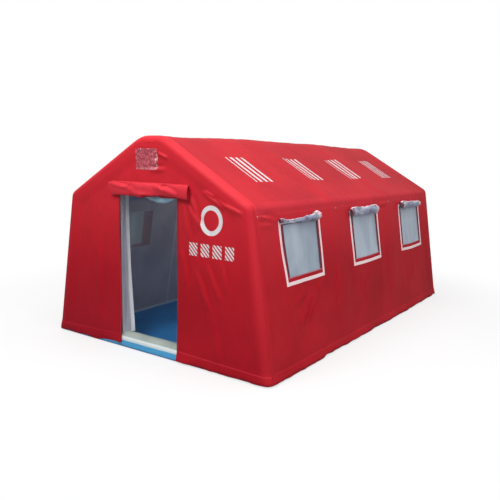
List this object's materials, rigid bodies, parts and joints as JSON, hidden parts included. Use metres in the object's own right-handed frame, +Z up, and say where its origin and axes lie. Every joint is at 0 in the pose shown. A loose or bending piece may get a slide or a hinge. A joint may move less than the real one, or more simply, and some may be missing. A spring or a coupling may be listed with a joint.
{
  "type": "inflatable tent",
  "caption": "Ridge-roofed inflatable frame tent: air-tube arches on a base tube, sewn cover and inner tent, mesh side windows with rolled covers, and a doorway in the gable.",
  "frame": {"origin": "middle of the footprint, on the face of the ground sheet that rests on the ground", "axes": "+Y along the ridge towards the closed gable, so the doorway gable faces -Y; +X to the right seen from outside the doorway; +Z up"},
  "size_m": [3.5122, 5.8083, 2.6713],
  "materials": {
    "floor_sheet": "smooth coated cloth",
    "tube": "satin",
    "cover_cloth": "coated woven cloth",
    "liner_cloth": "thin woven cloth",
    "flap_cloth": "coated woven cloth",
    "curtain_cloth": "thin coated cloth",
    "white_tape": "woven tape",
    "window_mesh": "insect mesh",
    "window_film": "soft clear film, rolled",
    "pocket_film": "soft clear film",
    "valve_black": "moulded",
    "valve_cap": "moulded"
  },
  "bodies": {
    "root": {"ground_sheet": "floor_sheet", "base_tube": "tube", "arch_1": "tube", "arch_2": "tube", "arch_3": "tube", "arch_4": "tube", "ridge_tube_1": "tube", "ridge_tube_2": "tube", "ridge_tube_3": "tube", "eave_tube_right_1": "tube", "eave_tube_right_2": "tube", "eave_tube_right_3": "tube", "eave_tube_left_1": "tube", "eave_tube_left_2": "tube", "eave_tube_left_3": "tube", "cover_roof": "cover_cloth", "cover_wall_right": "cover_cloth", "cover_wall_left": "cover_cloth", "cover_gable_front": "cover_cloth", "cover_gable_rear": "cover_cloth", "liner_shell": "liner_cloth", "liner_gable_front": "liner_cloth", "liner_gable_rear": "liner_cloth", "door_jamb_left": "liner_cloth", "door_jamb_right": "liner_cloth", "window_frame_left_1": "white_tape", "window_frame_left_2": "white_tape", "window_frame_left_3": "white_tape", "window_frame_right_1": "white_tape", "window_frame_right_2": "white_tape", "window_frame_right_3": "white_tape", "window_mesh_left_1": "window_mesh", "window_mesh_left_2": "window_mesh", "window_mesh_left_3": "window_mesh", "window_mesh_right_1": "window_mesh", "window_mesh_right_2": "window_mesh", "window_mesh_right_3": "window_mesh", "gable_pocket": "pocket_film", "inflation_valve": "valve_black", "relief_valve": "valve_black"},
    "window_roll_left_1_body": {"window_roll_left_1": "window_film"},
    "window_roll_left_2_body": {"window_roll_left_2": "window_film"},
    "window_roll_left_3_body": {"window_roll_left_3": "window_film"},
    "window_roll_right_1_body": {"window_roll_right_1": "window_film"},
    "window_roll_right_2_body": {"window_roll_right_2": "window_film"},
    "window_roll_right_3_body": {"window_roll_right_3": "window_film"},
    "door_flap": {"door_flap_roll": "flap_cloth"},
    "inner_curtain": {"inner_curtain_roll": "curtain_cloth"},
    "valve_cap": {"inflation_valve_cap": "valve_cap"}
  },
  "joints": [
    {"name": "unroll_window_left_1", "type": "slide", "parent": "root", "child": "window_roll_left_1_body", "axis": [-0.1576, 0, -0.9875], "range_m": [0, 0.7]},
    {"name": "unroll_window_left_2", "type": "slide", "parent": "root", "child": "window_roll_left_2_body", "axis": [-0.1576, 0, -0.9875], "range_m": [0, 0.7]},
    {"name": "unroll_window_left_3", "type": "slide", "parent": "root", "child": "window_roll_left_3_body", "axis": [-0.1576, 0, -0.9875], "range_m": [0, 0.7]},
    {"name": "unroll_window_right_1", "type": "slide", "parent": "root", "child": "window_roll_right_1_body", "axis": [0.1576, 0, -0.9875], "range_m": [0, 0.7]},
    {"name": "unroll_window_right_2", "type": "slide", "parent": "root", "child": "window_roll_right_2_body", "axis": [0.1576, 0, -0.9875], "range_m": [0, 0.7]},
    {"name": "unroll_window_right_3", "type": "slide", "parent": "root", "child": "window_roll_right_3_body", "axis": [0.1576, 0, -0.9875], "range_m": [0, 0.7]},
    {"name": "unroll_door_flap", "type": "slide", "parent": "root", "child": "door_flap", "axis": [0, 0, -1], "range_m": [0, 1.78]},
    {"name": "unroll_inner_curtain", "type": "slide", "parent": "root", "child": "inner_curtain", "axis": [0, 0, -1], "range_m": [0, 1.6]},
    {"name": "turn_valve_cap", "type": "hinge", "parent": "root", "child": "valve_cap", "pos_m": [1, 2.6416, 0.09606], "axis": [0, -1, 0], "range_deg": [0, 90]}
  ]
}
